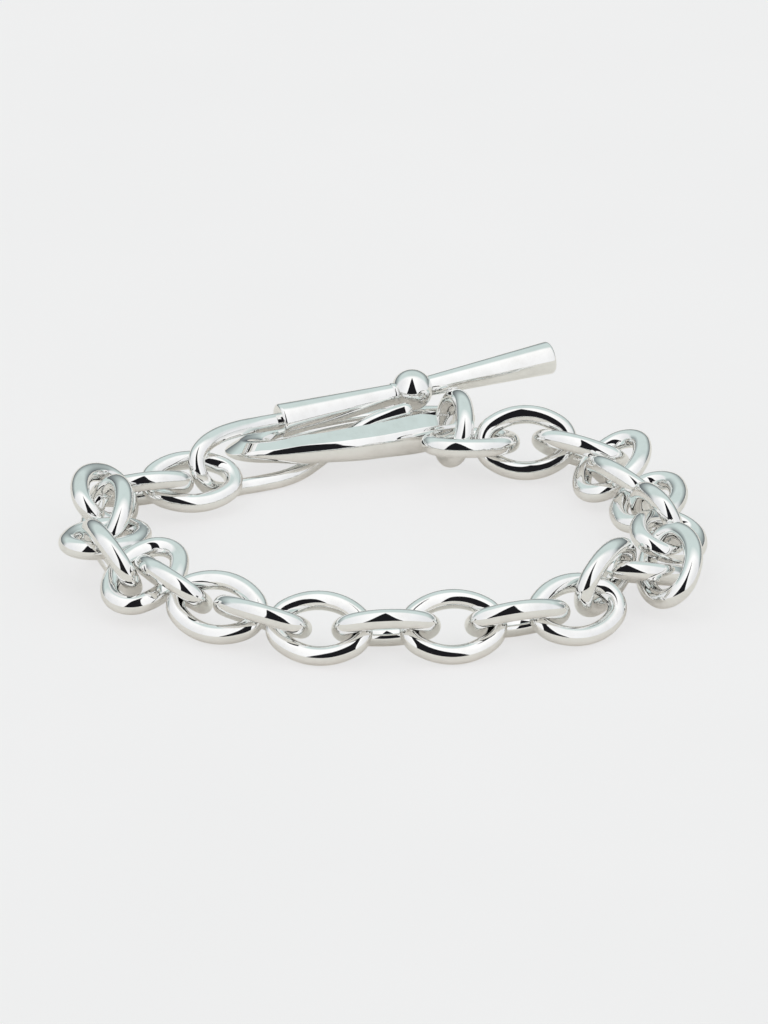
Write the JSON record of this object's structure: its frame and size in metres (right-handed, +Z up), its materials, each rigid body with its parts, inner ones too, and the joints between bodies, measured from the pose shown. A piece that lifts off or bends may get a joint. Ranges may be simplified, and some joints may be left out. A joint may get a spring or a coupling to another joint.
{
  "type": "link_bracelet",
  "caption": "Silver link bracelet of oval chain links, closed by a long oval ring and a ball-centred bar whose hooked wire passes through the ring",
  "frame": {"origin": "Middle of the bounding box, at its bottom, where the bracelet lies on the surface.", "axes": "X runs along the bracelet's long extent, Y from the front of the loop to the clasp at the back, Z up from the surface."},
  "size_m": [0.0604, 0.0561, 0.0078],
  "materials": {
    "silver": "polished silver with fine wear"
  },
  "bodies": {
    "root": {"link_01": "silver", "link_02": "silver", "link_03": "silver", "link_04": "silver", "link_05": "silver", "link_06": "silver", "link_07": "silver", "link_08": "silver", "link_09": "silver", "link_10": "silver", "link_11": "silver", "link_12": "silver", "link_13": "silver", "link_14": "silver", "link_15": "silver", "link_16": "silver", "link_17": "silver", "link_18": "silver", "link_19": "silver", "link_20": "silver", "link_21": "silver", "link_22": "silver", "link_23": "silver", "link_24": "silver", "link_25": "silver", "link_26": "silver", "link_27": "silver", "big_ring": "silver", "hook_bar": "silver"}
  },
  "joints": []
}
